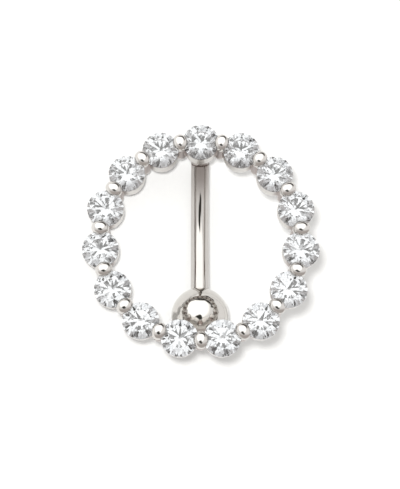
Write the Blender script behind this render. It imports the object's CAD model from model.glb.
import math
import random

import bmesh
import bpy
import numpy as np
from mathutils import Matrix, Vector


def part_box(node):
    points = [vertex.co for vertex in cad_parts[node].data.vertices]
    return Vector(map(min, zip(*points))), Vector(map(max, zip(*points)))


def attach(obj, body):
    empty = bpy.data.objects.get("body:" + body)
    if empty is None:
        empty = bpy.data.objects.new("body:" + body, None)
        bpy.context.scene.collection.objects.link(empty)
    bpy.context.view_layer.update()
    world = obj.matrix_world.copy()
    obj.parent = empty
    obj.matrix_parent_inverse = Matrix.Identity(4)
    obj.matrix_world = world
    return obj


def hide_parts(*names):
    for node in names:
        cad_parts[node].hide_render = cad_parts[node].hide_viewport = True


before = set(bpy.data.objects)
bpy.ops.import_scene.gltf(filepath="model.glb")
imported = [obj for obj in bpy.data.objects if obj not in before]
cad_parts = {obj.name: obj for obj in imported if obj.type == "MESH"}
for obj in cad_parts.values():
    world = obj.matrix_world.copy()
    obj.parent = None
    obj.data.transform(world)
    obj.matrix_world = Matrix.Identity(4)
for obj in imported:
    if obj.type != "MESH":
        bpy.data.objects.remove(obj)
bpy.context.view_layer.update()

MM = 0.001

# The view. The ring lies tipped on its table, so the camera is placed from the circle of stones:
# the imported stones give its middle, the way up to the top stone, and the way that the stones face.
PICTURE_W, PICTURE_H = 400, 489
MIDDLE_X, MIDDLE_Y = 200.9, 239.3  # where the circle's middle lies in the picture, in pixels
PIXELS_PER_MM = 12.165
CAMERA_AWAY = 80.0  # mm from the circle's middle
CAMERA_BELOW = math.radians(10.7)  # how far below the circle's own axis the camera stands
CAMERA_LEFT = math.radians(0.8)  # and how far to its left
SENSOR = 36.0
NEAREST_SEEN = 1 * MM
FURTHEST_SEEN = 10  # metres
RIGHT_STONE = 4  # the fifth stone clockwise, well off to the right of the line up to the top one
GIRDLE_FROM = 0.999  # a corner this far out, as a share of the stone's radius, is on its girdle

stone_names = sorted(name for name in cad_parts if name.startswith("stone_"))


def corners(node):
    return np.array([v.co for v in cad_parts[node].data.vertices])


def unit(v):
    return v / np.linalg.norm(v)


stone_middles = np.array([corners(name).mean(axis=0) for name in stone_names])
middle = stone_middles.mean(axis=0)
up = unit(stone_middles[0] - middle)
front = unit(np.cross(stone_middles[RIGHT_STONE] - middle, up))
right = np.cross(up, front)
pitch_r = np.linalg.norm(stone_middles[0] - middle)
first_stone = corners(stone_names[0]) - stone_middles[0]
heights = first_stone @ front
reaches = np.linalg.norm(first_stone - np.outer(heights, front), axis=1)
stone_r = reaches.max()
girdle_heights = heights[reaches > GIRDLE_FROM * stone_r]
middle = middle + front * (girdle_heights.max() + girdle_heights.min()) / 2
# The circle's own frame: X to the right, Y up to the top stone, Z out of the front from the girdles
circle = Matrix([[right[i], up[i], front[i], middle[i]] for i in range(3)] + [[0, 0, 0, 1]])

back_to_camera = Vector((-math.sin(CAMERA_LEFT), -math.sin(CAMERA_BELOW), math.cos(CAMERA_BELOW)))
back_to_camera.normalize()
camera_right = Vector((0, 1, 0)).cross(back_to_camera).normalized()
camera_up = back_to_camera.cross(camera_right)
camera_data = bpy.data.cameras.new("camera")
camera_data.sensor_width = SENSOR
camera_data.lens = PIXELS_PER_MM * CAMERA_AWAY / PICTURE_H * SENSOR
camera_data.shift_x = (PICTURE_W / 2 - MIDDLE_X) / PICTURE_H
camera_data.shift_y = (MIDDLE_Y - PICTURE_H / 2) / PICTURE_H
camera_data.clip_start = NEAREST_SEEN
camera_data.clip_end = FURTHEST_SEEN
camera = bpy.data.objects.new("camera", camera_data)
bpy.context.scene.collection.objects.link(camera)
in_circle = Matrix([camera_right, camera_up, back_to_camera]).transposed()
camera.matrix_world = circle @ Matrix.Translation(back_to_camera * CAMERA_AWAY * MM) @ in_circle.to_4x4()
bpy.context.scene.camera = camera

# The fifteen round brilliants: cubic zirconia, cut with flat facets round a table and down to a culet.
# Each sits in its cup with its girdle under the beads, turned and tipped a little as a setter leaves it.
TABLE_SHARE = 0.57
CROWN_ANGLE = math.radians(34.5)
PAVILION_ANGLE = math.radians(40.75)
GIRDLE_T = 0.12 * MM
STAR_SHARE = 0.5
LOWER_SHARE = 0.77
MAINS = 8
GIRDLE_STEPS = 96
LARGEST_TIP = math.radians(1.3)
SETTING_SEED = 11
SHALLOW_STONES = ("stone_09", "stone_11", "stone_12")  # cut a little flatter behind, for a darker star
SHALLOW_ANGLE = math.radians(39.6)
ZIRCONIA_WHITE = "D4D6D8"
ZIRCONIA_SHADE = "C3C5C8"
ZIRCONIA_IOR = 2.16
ZIRCONIA_CLOUD = 1.5 * MM
GROUND_LOW, GROUND_HIGH = 0.2, 0.4  # between which the ground band's roughness varies
POLISH_LINE = 0.05 * MM  # coarser than real grit, polishing and brush lines, and still only faint
KEYS_PER_METRE = 1e8  # corners that round to the same key are one corner
table_r = stone_r * TABLE_SHARE
table_z = GIRDLE_T / 2 + (stone_r - table_r) * math.tan(CROWN_ANGLE)


def linear(colour):
    """An sRGB hex colour as linear red, green, blue and alpha."""
    parts = [int(colour[i:i + 2], 16) / 255 for i in (0, 2, 4)]
    return [p / 12.92 if p <= 0.04045 else ((p + 0.055) / 1.055) ** 2.4 for p in parts] + [1.0]


def add_node(tree, kind, settings=None, inputs=None):
    """A node with its settings and inputs. An input is a value, or the output socket of another node."""
    made = tree.nodes.new(kind)
    for name, value in (settings or {}).items():
        setattr(made, name, value)
    for name, value in (inputs or {}).items():
        if isinstance(value, bpy.types.NodeSocket):
            tree.links.new(value, made.inputs[name])
        else:
            made.inputs[name].default_value = value
    return made


def new_material(name):
    material = bpy.data.materials.new(name)
    material.use_nodes = True
    material.node_tree.nodes.clear()
    return material, material.node_tree


def add_piece(name, mesh, materials, body, nodes):
    """A piece of the ring: its mesh and finish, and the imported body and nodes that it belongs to."""
    piece = bpy.data.objects.new(name, mesh)
    bpy.context.scene.collection.objects.link(piece)
    for material in materials:
        mesh.materials.append(material)
    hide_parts(*nodes)
    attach(piece, body)


def brilliant(name, place, pavilion_angle):
    """One round brilliant about its own axis, with its girdle at z = 0, then set in its place."""
    half_step = math.pi / MAINS
    culet_z = -GIRDLE_T / 2 - stone_r * math.tan(pavilion_angle)
    table_flat_r = table_r * math.cos(half_step)
    star_r = table_flat_r + STAR_SHARE * (stone_r - table_flat_r)
    star_z = GIRDLE_T / 2 + (stone_r - star_r * math.cos(half_step)) * math.tan(CROWN_ANGLE)
    lower_r = (1 - LOWER_SHARE) * stone_r
    lower_z = culet_z + lower_r * math.cos(half_step) * math.tan(pavilion_angle)

    def at(r, angle, z):
        return Vector((r * math.cos(angle), r * math.sin(angle), z))

    def edge_of_half(tip, main, side, z):
        """The girdle's edge along one half facet, which stays in the facet's plane."""
        a, b = at(stone_r, main, z), at(stone_r, main + side * half_step, z)
        across = (a - tip).cross(b - tip)
        points = []
        for i in range(GIRDLE_STEPS // (2 * MAINS) + 1):
            p = at(stone_r, main + side * i * 2 * math.pi / GIRDLE_STEPS, 0)
            p.z = tip.z - ((p.x - tip.x) * across.x + (p.y - tip.y) * across.y) / across.z
            points.append(p)
        return points

    bm = bmesh.new()
    known = {}

    def corner(p):
        key = tuple(round(x * KEYS_PER_METRE) for x in p)
        if key not in known:
            known[key] = bm.verts.new(p)
        return known[key]

    def facet(points, ground=False):
        face = bm.faces.new([corner(p) for p in points])
        face.material_index = 1 if ground else 0

    facet([at(table_r, 2 * i * half_step, table_z) for i in range(MAINS)])
    for i in range(MAINS):
        main = 2 * i * half_step
        table_a, table_b = at(table_r, main, table_z), at(table_r, main + 2 * half_step, table_z)
        stars = [at(star_r, main + side * half_step, star_z) for side in (-1, 1)]
        tips = [at(lower_r, main + side * half_step, lower_z) for side in (-1, 1)]
        facet([table_a, table_b, stars[1]])
        facet([table_a, stars[0], at(stone_r, main, GIRDLE_T / 2), stars[1]])
        facet([tips[0], at(0, 0, culet_z), tips[1], at(stone_r, main, -GIRDLE_T / 2)])
        for side, star, tip in zip((-1, 1), stars, tips):
            upper = edge_of_half(star, main, side, GIRDLE_T / 2)
            lower = edge_of_half(tip, main, side, -GIRDLE_T / 2)
            facet([star] + upper)
            facet([tip] + lower)
            for j in range(len(upper) - 1):
                facet([upper[j], upper[j + 1], lower[j + 1], lower[j]], ground=True)
    bmesh.ops.recalc_face_normals(bm, faces=bm.faces)
    bmesh.ops.transform(bm, matrix=place, verts=bm.verts)
    mesh = bpy.data.meshes.new(name)
    bm.to_mesh(mesh)
    bm.free()
    return mesh


# Cubic zirconia, polished: clear and nearly colourless, and it bends light almost as much as diamond
zirconia, tree = new_material("cubic_zirconia_polished")
places = add_node(tree, "ShaderNodeTexCoord")
clouds = add_node(tree, "ShaderNodeTexNoise", None, {
    "Vector": places.outputs["Object"], "Scale": 1 / ZIRCONIA_CLOUD, "Detail": 1.0})
tints = add_node(tree, "ShaderNodeMix", {"data_type": "RGBA"}, {
    "Factor": clouds.outputs["Fac"], "A": linear(ZIRCONIA_WHITE), "B": linear(ZIRCONIA_SHADE)})
surface = add_node(tree, "ShaderNodeBsdfPrincipled", None, {
    "Base Color": tints.outputs["Result"], "Transmission Weight": 1.0, "Roughness": 0.0,
    "IOR": ZIRCONIA_IOR})
add_node(tree, "ShaderNodeOutputMaterial", None, {"Surface": surface.outputs["BSDF"]})

# The same stone at its girdle, left ground from the lathe: a fine frosted band
ground_zirconia, tree = new_material("cubic_zirconia_ground_girdle")
places = add_node(tree, "ShaderNodeTexCoord")
grit = add_node(tree, "ShaderNodeTexNoise", None, {
    "Vector": places.outputs["Object"], "Scale": 1 / POLISH_LINE, "Detail": 2.0})
rough = add_node(tree, "ShaderNodeMapRange", None, {
    "Value": grit.outputs["Fac"], "To Min": GROUND_LOW, "To Max": GROUND_HIGH})
surface = add_node(tree, "ShaderNodeBsdfPrincipled", None, {
    "Base Color": linear(ZIRCONIA_SHADE), "Transmission Weight": 1.0,
    "Roughness": rough.outputs["Result"], "IOR": ZIRCONIA_IOR})
add_node(tree, "ShaderNodeOutputMaterial", None, {"Surface": surface.outputs["BSDF"]})

setter = random.Random(SETTING_SEED)
stone_count = len(stone_names)
stone_step = 2 * math.pi / stone_count


def at_stone(k):
    """The frame of stone k, counted from 0 clockwise from the top: its own Y points out of the circle."""
    return circle @ Matrix.Rotation(-k * stone_step, 4, "Z") @ Matrix.Translation((0, pitch_r, 0))


for k, name in enumerate(stone_names):
    turn = Matrix.Rotation(setter.uniform(0, 2 * math.pi / MAINS), 4, "Z")
    tip_towards = setter.uniform(0, 2 * math.pi)
    tip_axis = Vector((math.cos(tip_towards), math.sin(tip_towards), 0))
    tip = Matrix.Rotation(setter.uniform(0, LARGEST_TIP), 4, tip_axis)
    piece_name = name.replace("stone", "brilliant")
    pavilion_angle = SHALLOW_ANGLE if name in SHALLOW_STONES else PAVILION_ANGLE
    stone_mesh = brilliant(piece_name, at_stone(k) @ tip @ turn, pavilion_angle)
    add_piece(piece_name, stone_mesh, [zirconia, ground_zirconia], "circle", [name])

# The setting: fifteen open cups joined by a rail behind them, with a post between each two cups that ends
# in a bead over both stones. It is cast in white gold in one piece, so its inner corners are rounded, and
# the seats of the stones are then cut into it with a bur, which leaves them sharp.
CUP_DEPTH = 2.65 * MM
CUP_TOP_R = 1.495 * MM
CUP_BACK_R = 1.0 * MM
CUP_WALL = 0.38 * MM
CUP_LIP_Z = -0.2 * MM
CUP_BOWL_Z = -0.9 * MM
CUP_SIDES = 64
BOWL_FROM = -72  # degrees round the bowl's section, where the straight stretch to the back begins
BOWL_STEPS = 10
BEAD_W = 1.23 * MM
BEAD_L = 1.45 * MM
BEAD_TOP = 0.905 * MM
BEAD_DOME = 0.575 * MM
BEAD_FULLNESS = 0.84  # 1 is half a ball, and less is fuller, with a flatter top
BEAD_FROM, BEAD_TO = -80, 85  # degrees round the bead's section, from near its foot to near its top
BEAD_STEPS = 24
BEAD_Z = BEAD_TOP - BEAD_DOME
POST_SHARE = 0.9
POST_SIDES = 48
RAIL_W = 0.9 * MM
RAIL_T = 0.55 * MM
RAIL_STEPS = 12  # for each stone
BACK_STEP = 0.1 * MM  # the rail starts this far in front of the cups' backs, and the posts twice as far
STONE_GAP = 0.03 * MM
CORNER_CELL = 0.09 * MM
CORNER_SMOOTHING = 8
CORNER_FACTOR = 0.5
CORNER_INSET = 0.02 * MM  # how much smaller the copy is that rounds the corners
SHARP_ANGLE = math.radians(32)
WELD = 0.0005 * MM  # corners closer than this become one
ON_AXIS = 1e-9  # a radius below this counts as none


def lathe(bm, outline, place, steps):
    """A closed solid turned from radius and height pairs that start and end on the axis."""
    rings = []
    for r, z in outline:
        if r < ON_AXIS:
            rings.append([bm.verts.new(place @ Vector((0, 0, z)))])
        else:
            angles = [2 * math.pi * i / steps for i in range(steps)]
            points = [Vector((r * math.cos(a), r * math.sin(a), z)) for a in angles]
            rings.append([bm.verts.new(place @ p) for p in points])
    for low, high in zip(rings, rings[1:]):
        for i in range(steps):
            j = (i + 1) % steps
            if len(low) == 1:
                bm.faces.new([low[0], high[j], high[i]])
            elif len(high) == 1:
                bm.faces.new([low[i], low[j], high[0]])
            else:
                bm.faces.new([low[i], low[j], high[j], high[i]])


def arc(centre, r_across, r_along, start, end, steps):
    """Points of a quarter or half of an oval, as radius and height pairs. The angles are in degrees."""
    angles = [math.radians(start + (end - start) * i / steps) for i in range(steps + 1)]
    return [(centre[0] + r_across * math.cos(a), centre[1] + r_along * math.sin(a)) for a in angles]


def solid_mesh(name, build):
    bm = bmesh.new()
    build(bm)
    bmesh.ops.recalc_face_normals(bm, faces=bm.faces)
    mesh = bpy.data.meshes.new(name)
    bm.to_mesh(mesh)
    bm.free()
    return mesh


def cups(bm, inset=0):
    """The bowls behind the stones, before they are hollowed."""
    back, lip = -CUP_DEPTH + inset, CUP_LIP_Z - inset
    # The last stretch to the back is straight, as one cup rests on its rim there
    bowl = arc((CUP_BACK_R - inset, CUP_BOWL_Z), CUP_TOP_R - CUP_BACK_R, CUP_BOWL_Z - back,
               BOWL_FROM, 0, BOWL_STEPS)
    outline = [(0, back), (CUP_BACK_R - inset, back)] + bowl + [(CUP_TOP_R - inset, lip), (0, lip)]
    for k in range(stone_count):
        lathe(bm, outline, at_stone(k), CUP_SIDES)


def posts(bm, inset=0):
    """The oval posts between the cups, each up into its bead."""
    back = -CUP_DEPTH + 2 * BACK_STEP
    outline = [(0, back), (1, back), (1, BEAD_Z), (0, BEAD_Z)]
    oval = Matrix.Diagonal((POST_SHARE * BEAD_W / 2 - inset, POST_SHARE * BEAD_L / 2 - inset, 1, 1))
    for k in range(stone_count):
        lathe(bm, outline, at_stone(k + 0.5) @ oval, POST_SIDES)


def rail(bm, inset=0):
    """The flat ring that joins cups and posts at the back."""
    back = -CUP_DEPTH + BACK_STEP + inset
    front_of_rail = -CUP_DEPTH + BACK_STEP + RAIL_T - inset
    half_w = RAIL_W / 2 - inset
    steps = RAIL_STEPS * stone_count
    corners_of_rail = [(pitch_r - half_w, back), (pitch_r + half_w, back),
                       (pitch_r + half_w, front_of_rail), (pitch_r - half_w, front_of_rail)]
    rings = []
    for i in range(steps):
        a = 2 * math.pi * i / steps
        rings.append([bm.verts.new(circle @ Vector((r * math.cos(a), r * math.sin(a), z)))
                      for r, z in corners_of_rail])
    for i in range(steps):
        here, there = rings[i], rings[(i + 1) % steps]
        for j in range(len(here)):
            k = (j + 1) % len(here)
            bm.faces.new([here[j], here[k], there[k], there[j]])


def rough_casting(bm):
    """Cups, posts and rail a hair smaller. Melted together, they stand proud only in the corners."""
    for part in (cups, posts, rail):
        part(bm, CORNER_INSET)


def beads(bm):
    """The domes that close over the stones, each an oval swelling over the end of its post."""
    bead = [(0, BEAD_Z - BEAD_DOME)]
    for r, z in arc((0, 0), 1, 1, BEAD_FROM, BEAD_TO, BEAD_STEPS):
        height = math.copysign(BEAD_DOME * abs(z) ** BEAD_FULLNESS, z)
        bead.append((abs(r) ** BEAD_FULLNESS, BEAD_Z + height))
    bead.append((0, BEAD_TOP))
    oval = Matrix.Diagonal((BEAD_W / 2, BEAD_L / 2, 1, 1))
    for k in range(stone_count):
        lathe(bm, bead, at_stone(k + 0.5) @ oval, POST_SIDES)


def stone_seats(bm):
    """What the bur takes out: the stone's own shape with a little room, and the open bowl behind it."""
    ledge_r = CUP_TOP_R - CUP_WALL
    hole_r = CUP_BACK_R - CUP_WALL
    seat_r = stone_r + STONE_GAP
    seat_at_ledge = -GIRDLE_T / 2 - STONE_GAP - (seat_r - ledge_r) * math.tan(PAVILION_ANGLE)
    cut_start = -CUP_DEPTH - BACK_STEP
    hole_widens = -CUP_DEPTH + 1.5 * BACK_STEP
    outline = [(0, cut_start), (hole_r, cut_start), (hole_r, hole_widens), (ledge_r, CUP_BOWL_Z),
               (ledge_r, seat_at_ledge), (seat_r, -GIRDLE_T / 2 - STONE_GAP),
               (seat_r, GIRDLE_T / 2 + STONE_GAP), (table_r + STONE_GAP, table_z + STONE_GAP),
               (0, table_z + STONE_GAP)]
    for k in range(stone_count):
        lathe(bm, outline, at_stone(k), CUP_SIDES)


def carried_out(name, mesh, modifiers):
    """The mesh after its modifiers, each given as kind and settings."""
    worker = bpy.data.objects.new(name, mesh)
    bpy.context.scene.collection.objects.link(worker)
    for kind, settings in modifiers:
        modifier = worker.modifiers.new(kind, kind)
        for key, value in settings.items():
            setattr(modifier, key, value)
    evaluated = worker.evaluated_get(bpy.context.evaluated_depsgraph_get())
    shaped = bpy.data.meshes.new_from_object(evaluated)
    bpy.data.objects.remove(worker)
    shaped.materials.clear()
    shaped.name = name
    return shaped


def weld(mesh):
    """Joins the corners that the cuts leave a hair apart, and splits the faces cleanly into triangles."""
    bm = bmesh.new()
    bm.from_mesh(mesh)
    bmesh.ops.remove_doubles(bm, verts=bm.verts, dist=WELD)
    bmesh.ops.triangulate(bm, faces=bm.faces)
    bm.to_mesh(mesh)
    bm.free()


def shade(mesh):
    mesh.shade_smooth()
    mesh.set_sharp_from_angle(angle=SHARP_ANGLE)


soft_corners = carried_out("soft_corners", solid_mesh("rough_casting", rough_casting), [
    ("REMESH", {"mode": "VOXEL", "voxel_size": CORNER_CELL, "adaptivity": 0.0}),
    ("SMOOTH", {"factor": CORNER_FACTOR, "iterations": CORNER_SMOOTHING})])
steps_of_work = (
    ("UNION", solid_mesh("posts", posts)),
    ("UNION", solid_mesh("rail", rail)),
    ("UNION", soft_corners),
    ("UNION", solid_mesh("beads", beads)),
    ("DIFFERENCE", solid_mesh("stone_seats", stone_seats)),
)
tools = []
cuts = []
for operation, mesh in steps_of_work:
    tool = bpy.data.objects.new(mesh.name, mesh)
    bpy.context.scene.collection.objects.link(tool)
    tools.append(tool)
    cuts.append(("BOOLEAN", {"operation": operation, "solver": "MANIFOLD", "object": tool}))
setting_mesh = carried_out("setting", solid_mesh("cups", cups), cuts)
for tool in tools:
    bpy.data.objects.remove(tool)
weld(setting_mesh)
shade(setting_mesh)
into_circle = circle.inverted()
for face in setting_mesh.polygons:
    face.material_index = 1 if (into_circle @ face.center).z > CUP_LIP_Z else 0

BRUSHED_WHITE = "DFDCD9"
BRUSHED_SHADE = "D4D1CD"
BRUSHED_ROUGHNESS = 0.38
CAST_RIPPLE = 0.012 * MM  # how high the soft ripples stand
BEAD_WHITE = "D8D5D2"
BEAD_SHADE = "CFCCC8"
POLISHED_ROUGHNESS = 0.06
GOLD_CLOUD = 0.8 * MM
ROUGHNESS_LOW, ROUGHNESS_HIGH = 0.6, 1.4  # how far the lines of the finish vary its roughness
POST_TINT = "B8ACA9"
POST_GLOSS = 0.9  # its roughness, as a share of the brushed metal's
POST_FROM, POST_TO = 0.31, 0.41  # where its finish sets in, from 0 at a stone to 0.5 at a post's middle
POST_LOW_Z, POST_HIGH_Z = -2.6 * MM, -1.9 * MM  # and between which heights, from the rail forwards


def between_cups(tree, places):
    """How far a place is on the posts, from 0 on the cups and the rail to 1 on the posts' fronts."""
    from_middle = add_node(tree, "ShaderNodeVectorMath", {"operation": "SUBTRACT"}, {
        0: places.outputs["Object"], 1: middle})
    across, along, out = [
        add_node(tree, "ShaderNodeVectorMath", {"operation": "DOT_PRODUCT"}, {
            0: from_middle.outputs["Vector"], 1: axis}).outputs["Value"] for axis in (right, up, front)]
    value = add_node(tree, "ShaderNodeMath", {"operation": "ARCTAN2"}, {0: across, 1: along})
    # In steps from stone to stone, folded so that 0 is at a stone and 0.5 halfway to the next
    for operation, by in (("DIVIDE", stone_step), ("PINGPONG", 0.5)):
        value = add_node(tree, "ShaderNodeMath", {"operation": operation}, {
            0: value.outputs["Value"], 1: by})
    near_post = add_node(tree, "ShaderNodeMapRange", {"interpolation_type": "SMOOTHSTEP"}, {
        "Value": value.outputs["Value"], "From Min": POST_FROM, "From Max": POST_TO})
    in_front = add_node(tree, "ShaderNodeMapRange", {"interpolation_type": "SMOOTHSTEP"}, {
        "Value": out, "From Min": POST_LOW_Z, "From Max": POST_HIGH_Z})
    return add_node(tree, "ShaderNodeMath", {"operation": "MULTIPLY"}, {
        0: near_post.outputs["Result"], 1: in_front.outputs["Result"]}).outputs["Value"]


def gold(name, white, shade_colour, ripple_height, roughness, other_finish=None):
    """White gold: pale and warm, with soft ripples. Another finish is a function that says where it lies,
    a tint, and its roughness as a share of the first."""
    material, tree = new_material(name)
    places = add_node(tree, "ShaderNodeTexCoord")
    clouds = add_node(tree, "ShaderNodeTexNoise", None, {
        "Vector": places.outputs["Object"], "Scale": 1 / GOLD_CLOUD, "Detail": 3.0})
    tints = add_node(tree, "ShaderNodeMix", {"data_type": "RGBA"}, {
        "Factor": clouds.outputs["Fac"], "A": linear(white), "B": linear(shade_colour)})
    lines = add_node(tree, "ShaderNodeTexNoise", None, {
        "Vector": places.outputs["Object"], "Scale": 1 / POLISH_LINE, "Detail": 2.0})
    rough = add_node(tree, "ShaderNodeMapRange", None, {
        "Value": lines.outputs["Fac"], "To Min": roughness * ROUGHNESS_LOW,
        "To Max": roughness * ROUGHNESS_HIGH})
    if other_finish:
        where, tint, gloss = other_finish
        share = where(tree, places)
        tints = add_node(tree, "ShaderNodeMix", {"data_type": "RGBA", "blend_type": "MULTIPLY"}, {
            "Factor": share, "A": tints.outputs["Result"], "B": linear(tint)})
        shift = add_node(tree, "ShaderNodeMapRange", None, {
            "Value": share, "To Min": 1.0, "To Max": gloss})
        rough = add_node(tree, "ShaderNodeMapRange", None, {
            "Value": shift.outputs["Result"], "To Max": rough.outputs["Result"]})
    ripple = add_node(tree, "ShaderNodeBump", None, {
        "Height": clouds.outputs["Fac"], "Strength": 1.0, "Distance": ripple_height})
    surface = add_node(tree, "ShaderNodeBsdfPrincipled", None, {
        "Base Color": tints.outputs["Result"], "Metallic": 1.0, "Roughness": rough.outputs["Result"],
        "Normal": ripple.outputs["Normal"]})
    add_node(tree, "ShaderNodeOutputMaterial", None, {"Surface": surface.outputs["BSDF"]})
    return material


# Brushed to a satin, so the cups and the rail show soft light instead of pictures of what is round them.
# The brush doesn't reach the posts between the cups, so they stay a little glossier, darker and pinker.
brushed_gold = gold("white_gold_brushed", BRUSHED_WHITE, BRUSHED_SHADE, CAST_RIPPLE, BRUSHED_ROUGHNESS,
                    (between_cups, POST_TINT, POST_GLOSS))
# The beads, burnished bright when they were closed over the stones
bead_gold = gold("white_gold_beads_burnished", BEAD_WHITE, BEAD_SHADE, CAST_RIPPLE, POLISHED_ROUGHNESS)
add_piece("setting", setting_mesh, [brushed_gold, bead_gold], "circle",
          ["setting_with_bar"])

# The bar: 14 gauge white gold wire, bent down behind the circle and soldered into the back of the top
# cup. Its straight end is turned down to a threaded pin that the ball screws onto.
BAR_R = 1.63 * MM / 2
NECK_STUB = 0.05 * MM
NECK_IN_CUP = 0.35 * MM
NECK_BEND_R = 1.9 * MM
NECK_ANGLE = math.radians(32)
NECK_STEPS = 28
BAR_BEND_R = 13 * MM
BAR_BEND_STEPS = 60
TAIL_ANGLE = math.radians(5)
TAIL_LENGTH = 2.95 * MM
TAIL_RINGS = (0.25, 0.5, 0.75)  # where along the straight end its rings of corners lie
SOLDER_R = 0.13 * MM
SOLDER_RUN = 0.35 * MM
SHOULDER_BEVEL = 0.08 * MM
THREAD_LENGTH = 2.2 * MM
THREAD_R = 0.6 * MM
THREAD_PITCH = 0.25 * MM
THREAD_DEPTH = 0.09 * MM
THREAD_STEPS = 8  # for each turn of the thread
BAR_SIDES = 64

neck_centre = Vector((0, pitch_r - NECK_BEND_R, -CUP_DEPTH - NECK_STUB))
bend_start = neck_centre + NECK_BEND_R * Vector((0, math.sin(NECK_ANGLE), -math.cos(NECK_ANGLE)))
bend_centre = bend_start + BAR_BEND_R * Vector((0, -math.sin(NECK_ANGLE), math.cos(NECK_ANGLE)))
bend_end = bend_centre + BAR_BEND_R * Vector((0, -math.sin(TAIL_ANGLE), -math.cos(TAIL_ANGLE)))
tail_dir = Vector((0, -math.cos(TAIL_ANGLE), math.sin(TAIL_ANGLE)))
shoulder = bend_end + TAIL_LENGTH * tail_dir


def bend_points(centre, r, start, end, steps):
    """Points and directions along a bend in the middle plane. An angle is the bar's slope there."""
    for i in range(steps + 1):
        a = start + (end - start) * i / steps
        outwards = Vector((0, math.sin(a), -math.cos(a)))
        yield centre + r * outwards, Vector((0, -math.cos(a), -math.sin(a)))


def thread_r(angle, along):
    """The radius of a V thread at a turn about the pin and a place along it."""
    phase = (along / THREAD_PITCH - angle / (2 * math.pi)) % 1
    run_out = min(1, along / THREAD_PITCH, (THREAD_LENGTH - along) / THREAD_PITCH)
    return THREAD_R - THREAD_DEPTH * abs(2 * phase - 1) * max(0, run_out)


def ring_of_bar(bm, point, direction, radius):
    """One ring of corners round the bar. The radius is a function of the angle."""
    side = Vector((1, 0, 0))
    over = direction.cross(side)
    ring = []
    for i in range(BAR_SIDES):
        a = 2 * math.pi * i / BAR_SIDES
        outwards = math.cos(a) * side + math.sin(a) * over
        ring.append(bm.verts.new(circle @ (point + radius(a) * outwards)))
    return ring


def bar_body(bm):
    """The bar from inside the cup to the pin's tip, through stations of point, direction and radius."""
    into_cup = Vector((0, pitch_r, -CUP_DEPTH + NECK_IN_CUP))
    cup_back = Vector((0, pitch_r, -CUP_DEPTH))
    backwards = Vector((0, 0, -1))
    stations = [(into_cup, backwards, BAR_R), (cup_back, backwards, BAR_R + SOLDER_R)]
    travelled = NECK_STUB
    last = None
    neck_bend = bend_points(neck_centre, NECK_BEND_R, math.pi / 2, NECK_ANGLE, NECK_STEPS)
    long_bend = bend_points(bend_centre, BAR_BEND_R, NECK_ANGLE, -TAIL_ANGLE, BAR_BEND_STEPS)
    bends = [*neck_bend, *list(long_bend)[1:]]
    for point, direction in bends:
        travelled += (point - last).length if last else 0
        last = point
        flare = max(0, 1 - travelled / SOLDER_RUN) ** 2
        stations.append((point, direction, BAR_R + SOLDER_R * flare))
    for share in TAIL_RINGS:
        stations.append((bend_end + share * TAIL_LENGTH * tail_dir, tail_dir, BAR_R))
    stations.append((shoulder - SHOULDER_BEVEL * tail_dir, tail_dir, BAR_R))
    stations.append((shoulder, tail_dir, BAR_R - SHOULDER_BEVEL))
    rings = []
    for point, direction, r in stations:
        rings.append(ring_of_bar(bm, point, direction, lambda a: r))
    steps = round(THREAD_LENGTH / THREAD_PITCH * THREAD_STEPS)
    for i in range(steps + 1):
        along = THREAD_LENGTH * i / steps
        point = shoulder + along * tail_dir
        rings.append(ring_of_bar(bm, point, tail_dir, lambda a: thread_r(a, along)))
    tip = shoulder + (THREAD_LENGTH + THREAD_DEPTH) * tail_dir
    rings.append(ring_of_bar(bm, tip, tail_dir, lambda a: THREAD_R - 2 * THREAD_DEPTH))
    for low, high in zip(rings, rings[1:]):
        for i in range(BAR_SIDES):
            j = (i + 1) % BAR_SIDES
            bm.faces.new([low[i], low[j], high[j], high[i]])
    bm.faces.new(rings[0])
    bm.faces.new(rings[-1])


bar_mesh = solid_mesh("navel_bar", bar_body)
shade(bar_mesh)
WIRE_WHITE = "CECBC7"
WIRE_SHADE = "C5C1BD"
WIRE_RIPPLE = 0.006 * MM
HEAT_TINT = "776360"  # on the seam itself
HEAT_GLOSS = 2.2  # its roughness there, as a share of the polished wire's
HEAT_SHARE = 0.25  # the share of both that the wire near the joint has
HEAT_NEAR, HEAT_FAR = 2.1 * MM, 4.5 * MM  # between which distances from inside_neck that share fades
# The seam is a thin band round the neck. It lies at one distance from a point inside the neck, which makes
# it follow the top cup's edge as the front shows it.
SEAM_BEHIND = 0.9 * MM  # how far that point lies behind the start of the neck's bend
SEAM_R = 1.18 * MM
SEAM_T = 0.1 * MM  # from the middle of the band to where it has faded out
inside_neck = circle @ Vector((0, pitch_r, neck_centre.z - SEAM_BEHIND))


def heated(tree, places):
    """How much of the torch a place shows: all on the seam, some near it and none further on."""
    distance = add_node(tree, "ShaderNodeVectorMath", {"operation": "DISTANCE"}, {
        0: places.outputs["Object"], 1: inside_neck}).outputs["Value"]
    near_joint = add_node(tree, "ShaderNodeMapRange", {"interpolation_type": "SMOOTHSTEP"}, {
        "Value": distance, "From Min": HEAT_NEAR, "From Max": HEAT_FAR,
        "To Min": HEAT_SHARE, "To Max": 0.0})
    past_seam = add_node(tree, "ShaderNodeMath", {"operation": "SUBTRACT"}, {0: distance, 1: SEAM_R})
    off_seam = add_node(tree, "ShaderNodeMath", {"operation": "ABSOLUTE"}, {
        0: past_seam.outputs["Value"]})
    on_seam = add_node(tree, "ShaderNodeMapRange", {"interpolation_type": "SMOOTHSTEP"}, {
        "Value": off_seam.outputs["Value"], "From Max": SEAM_T, "To Min": 1.0, "To Max": 0.0})
    return add_node(tree, "ShaderNodeMath", {"operation": "MAXIMUM"}, {
        0: near_joint.outputs["Result"], 1: on_seam.outputs["Result"]}).outputs["Value"]


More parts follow.
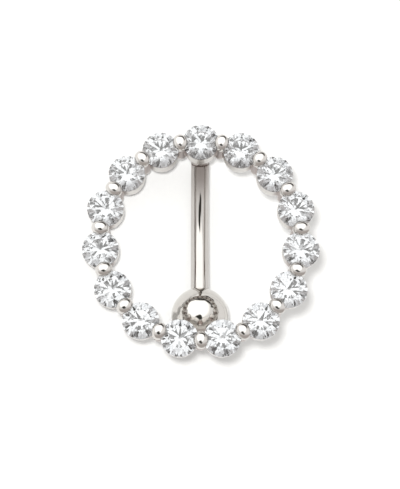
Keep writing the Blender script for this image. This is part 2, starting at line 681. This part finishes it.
# Drawn wire, polished: long clean reflections, a little darker, pinker and duller near the joint, with
# a thin dark seam where the wire leaves the cup
drawn_gold = gold("white_gold_wire_polished", WIRE_WHITE, WIRE_SHADE, WIRE_RIPPLE, POLISHED_ROUGHNESS,
                  (heated, HEAT_TINT, HEAT_GLOSS))
add_piece("navel_bar", bar_mesh, [drawn_gold], "circle", ["setting_with_bar"])

# The ball: 5 mm, turned from white gold and polished, with a blind hole and a recess that hides the bar's
# shoulder. It screws onto the bar. The real hole is threaded, and here its wall is plain and the ball
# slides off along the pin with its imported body.
HOLE_GAP = 0.05 * MM
RECESS_DEPTH = 0.2 * MM  # how far below the place where the bar's side meets the ball its shoulder lies
MOUTH_BEVEL = 0.06 * MM
BALL_RINGS = 72
BALL_SIDES = 144
ball_low, ball_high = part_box("ball")
ball_r = (ball_high.x - ball_low.x) / 2
shoulder_depth = math.sqrt(ball_r ** 2 - BAR_R ** 2) - RECESS_DEPTH
ball_centre = shoulder + shoulder_depth * tail_dir


def ball_body(bm):
    recess_r = BAR_R + HOLE_GAP
    hole_r = THREAD_R + HOLE_GAP
    recess_floor = shoulder_depth - HOLE_GAP
    hole_floor = recess_floor - THREAD_LENGTH - HOLE_GAP
    rim_r = recess_r + MOUTH_BEVEL
    rim_angle = math.degrees(math.acos(rim_r / ball_r))
    sphere = arc((0, 0), ball_r, ball_r, rim_angle, -90, BALL_RINGS)
    mouth = math.sqrt(ball_r ** 2 - rim_r ** 2) - MOUTH_BEVEL
    hole = [(0, hole_floor), (hole_r, hole_floor), (hole_r, recess_floor), (recess_r, recess_floor),
            (recess_r, mouth)]
    outline = hole + sphere[:-1] + [(0, -ball_r)]
    towards_bar = (circle.to_3x3() @ -tail_dir).to_track_quat("Z", "Y").to_matrix().to_4x4()
    lathe(bm, outline, Matrix.Translation(circle @ ball_centre) @ towards_bar, BALL_SIDES)


ball_mesh = solid_mesh("screw_ball", ball_body)
shade(ball_mesh)
BALL_WHITE = "D6D3CF"
BALL_SHADE = "CECBC6"
BALL_RIPPLE = 0.01 * MM
# Turned and polished: a clear mirror of the tent, the sheet and the ring's own back
turned_gold = gold("white_gold_turned_and_polished", BALL_WHITE, BALL_SHADE, BALL_RIPPLE,
                   POLISHED_ROUGHNESS)
add_piece("screw_ball", ball_mesh, [turned_gold], "screw_ball", ["ball"])

# The table that the ring lies on: a sheet of matt white card, a metre square. From the front it fills the
# whole picture, and from low down its far edge shows.
TABLE_WIDE = 1.0
SHEET_WHITE = "C1C1C0"
SHEET_SHADE = "BDBDBC"
SHEET_GRAIN = 0.4 * MM  # coarser than real card's, and still only faint
SHEET_ROUGHNESS = 0.9
SHEET_SPECULAR = 0.1

# Matt card: soft even light with no shine, and a faint grain
sheet, tree = new_material("matt_white_sheet")
places = add_node(tree, "ShaderNodeTexCoord")
grain = add_node(tree, "ShaderNodeTexNoise", None, {
    "Vector": places.outputs["Object"], "Scale": 1 / SHEET_GRAIN, "Detail": 2.0})
tints = add_node(tree, "ShaderNodeMix", {"data_type": "RGBA"}, {
    "Factor": grain.outputs["Fac"], "A": linear(SHEET_WHITE), "B": linear(SHEET_SHADE)})
surface = add_node(tree, "ShaderNodeBsdfPrincipled", None, {
    "Base Color": tints.outputs["Result"], "Roughness": SHEET_ROUGHNESS,
    "Specular IOR Level": SHEET_SPECULAR})
add_node(tree, "ShaderNodeOutputMaterial", None, {"Surface": surface.outputs["BSDF"]})

sheet_mesh = bpy.data.meshes.new("white_sheet")
half = TABLE_WIDE / 2
sheet_corners = [(-half, -half, 0), (half, -half, 0), (half, half, 0), (-half, half, 0)]
sheet_mesh.from_pydata(sheet_corners, [], [(0, 1, 2, 3)])
sheet_mesh.materials.append(sheet)
white_sheet = bpy.data.objects.new("white_sheet", sheet_mesh)
bpy.context.scene.collection.objects.link(white_sheet)

# The light tent: white walls with the side by the ball in half light, a softbox beyond the top stone, a
# dark gap low in the wall behind it, and the hole that the lens looks through.
TENT_WHITE = (1.05, 1.04, 1.03)
# Each patch is placed where a mirror ball at the ring, looked at from the camera's side, would show it:
# 0, 0 is the ball's middle and 1 its edge.
PATCHES = (
    # x, y, turn in degrees, half width, half height, corner, soft edge, red, green, blue
    # The side in half light, then the softbox
    (0.00, -0.80, 0, 1.20, 0.62, 0.40, 0.30, 0.54, 0.50, 0.48),
    (-0.06, 0.32, 0, 0.38, 0.31, 0.29, 0.12, 1.80, 1.80, 1.78),
    # The gap, from left to right
    (-0.26, 0.61, 20, 0.18, 0.055, 0.05, 0.05, 0.22, 0.21, 0.20),
    (0.02, 0.665, -4, 0.22, 0.095, 0.09, 0.04, 0.07, 0.065, 0.06),
    (0.32, 0.58, -36, 0.20, 0.10, 0.09, 0.04, 0.05, 0.045, 0.04),
    (0.46, 0.40, 68, 0.09, 0.07, 0.05, 0.04, 0.07, 0.06, 0.055),
    # The lens's hole
    (-0.045, -0.005, 20, 0.11, 0.085, 0.06, 0.04, 0.05, 0.05, 0.045),
    (0.05, -0.095, 10, 0.10, 0.065, 0.05, 0.04, 0.06, 0.055, 0.05),
)

world = bpy.data.worlds.new("light_tent")
bpy.context.scene.world = world
world.use_nodes = True
tree = world.node_tree
tree.nodes.clear()

# Halfway between a direction and the one to the camera is the mirror ball's normal that shows it
turn_of_circle = circle.to_3x3()
directions = add_node(tree, "ShaderNodeTexCoord").outputs["Generated"]
halfway = add_node(tree, "ShaderNodeVectorMath", {"operation": "ADD"}, {
    0: directions, 1: turn_of_circle @ back_to_camera}).outputs["Vector"]
mirror = add_node(tree, "ShaderNodeVectorMath", {"operation": "NORMALIZE"}, {
    0: halfway}).outputs["Vector"]
ball_x, ball_y = [
    add_node(tree, "ShaderNodeVectorMath", {"operation": "DOT_PRODUCT"}, {
        0: mirror, 1: turn_of_circle @ axis}) for axis in (camera_right, camera_up)]
seen_at = add_node(tree, "ShaderNodeCombineXYZ", None, {
    "X": ball_x.outputs["Value"], "Y": ball_y.outputs["Value"]}).outputs["Vector"]
shown = add_node(tree, "ShaderNodeRGB").outputs["Color"]
shown.default_value = (*TENT_WHITE, 1)
for x, y, turn, half_w, half_h, corner, soft, *shine in PATCHES:
    past = add_node(tree, "ShaderNodeVectorRotate", {"rotation_type": "Z_AXIS"}, {
        "Vector": seen_at, "Center": (x, y, 0), "Angle": -math.radians(turn)}).outputs["Vector"]
    # How far a place lies outside the inner rectangle that the patch's rounded corners are drawn round
    to_inner_edge = (
        ("SUBTRACT", (x, y, 0)),
        ("ABSOLUTE", (0, 0, 0)),
        ("SUBTRACT", (half_w - corner, half_h - corner, 0)),
        ("MAXIMUM", (0, 0, 0)),
    )
    for operation, value in to_inner_edge:
        past = add_node(tree, "ShaderNodeVectorMath", {"operation": operation}, {
            0: past, 1: value}).outputs["Vector"]
    reach = add_node(tree, "ShaderNodeVectorMath", {"operation": "LENGTH"}, {0: past}).outputs["Value"]
    inside = add_node(tree, "ShaderNodeMapRange", {"interpolation_type": "SMOOTHSTEP"}, {
        "Value": reach, "From Min": corner - soft / 2, "From Max": corner + soft / 2,
        "To Min": 1.0, "To Max": 0.0})
    shown = add_node(tree, "ShaderNodeMix", {"data_type": "RGBA"}, {
        "Factor": inside.outputs["Result"], "A": shown, "B": (*shine, 1)}).outputs["Result"]
background = add_node(tree, "ShaderNodeBackground", None, {"Color": shown, "Strength": 1.0})
add_node(tree, "ShaderNodeOutputWorld", None, {"Surface": background.outputs["Background"]})

# Two lamps for the sheet: the key at the lens's upper left, whose shadow falls close beside the ring on
# the lower right, and a fill at the lens, which stands for light from all sides and casts no shadow.
# Their light doesn't fade with distance, and the metal and the stones show the tent alone.
LAMPS = (
    # name, power, radius in mm, mm to the lens's right, mm above it, casts a shadow
    ("key", 44.0, 3.0, -2.9, 5.0, True),
    ("fill", 14.0, 0.5, 0.0, 0.0, False),
)

for name, power, radius, to_right, above, casts_shadow in LAMPS:
    lamp_data = bpy.data.lights.new(name, "POINT")
    lamp_data.energy = power
    lamp_data.shadow_soft_size = radius * MM
    lamp_data.use_shadow = casts_shadow
    lamp_data.use_nodes = True
    tree = lamp_data.node_tree
    tree.nodes.clear()
    even = add_node(tree, "ShaderNodeLightFalloff", None, {"Strength": 1.0})
    light = add_node(tree, "ShaderNodeEmission", None, {"Strength": even.outputs["Constant"]})
    add_node(tree, "ShaderNodeOutputLight", None, {"Surface": light.outputs["Emission"]})
    lamp = bpy.data.objects.new(name, lamp_data)
    bpy.context.scene.collection.objects.link(lamp)
    lamp.location = camera.matrix_world @ Vector((to_right * MM, above * MM, 0))
    lamp.visible_camera = False
    lamp.visible_glossy = False
    lamp.visible_transmission = False

# Plain colours, and enough bounces for light to find its way out through a stone's many facets
MOST_BOUNCES = 32
MOST_OF_A_KIND = 24
scene = bpy.context.scene
scene.view_settings.view_transform = "Standard"
scene.cycles.max_bounces = MOST_BOUNCES
scene.cycles.glossy_bounces = MOST_OF_A_KIND
scene.cycles.transmission_bounces = MOST_OF_A_KIND
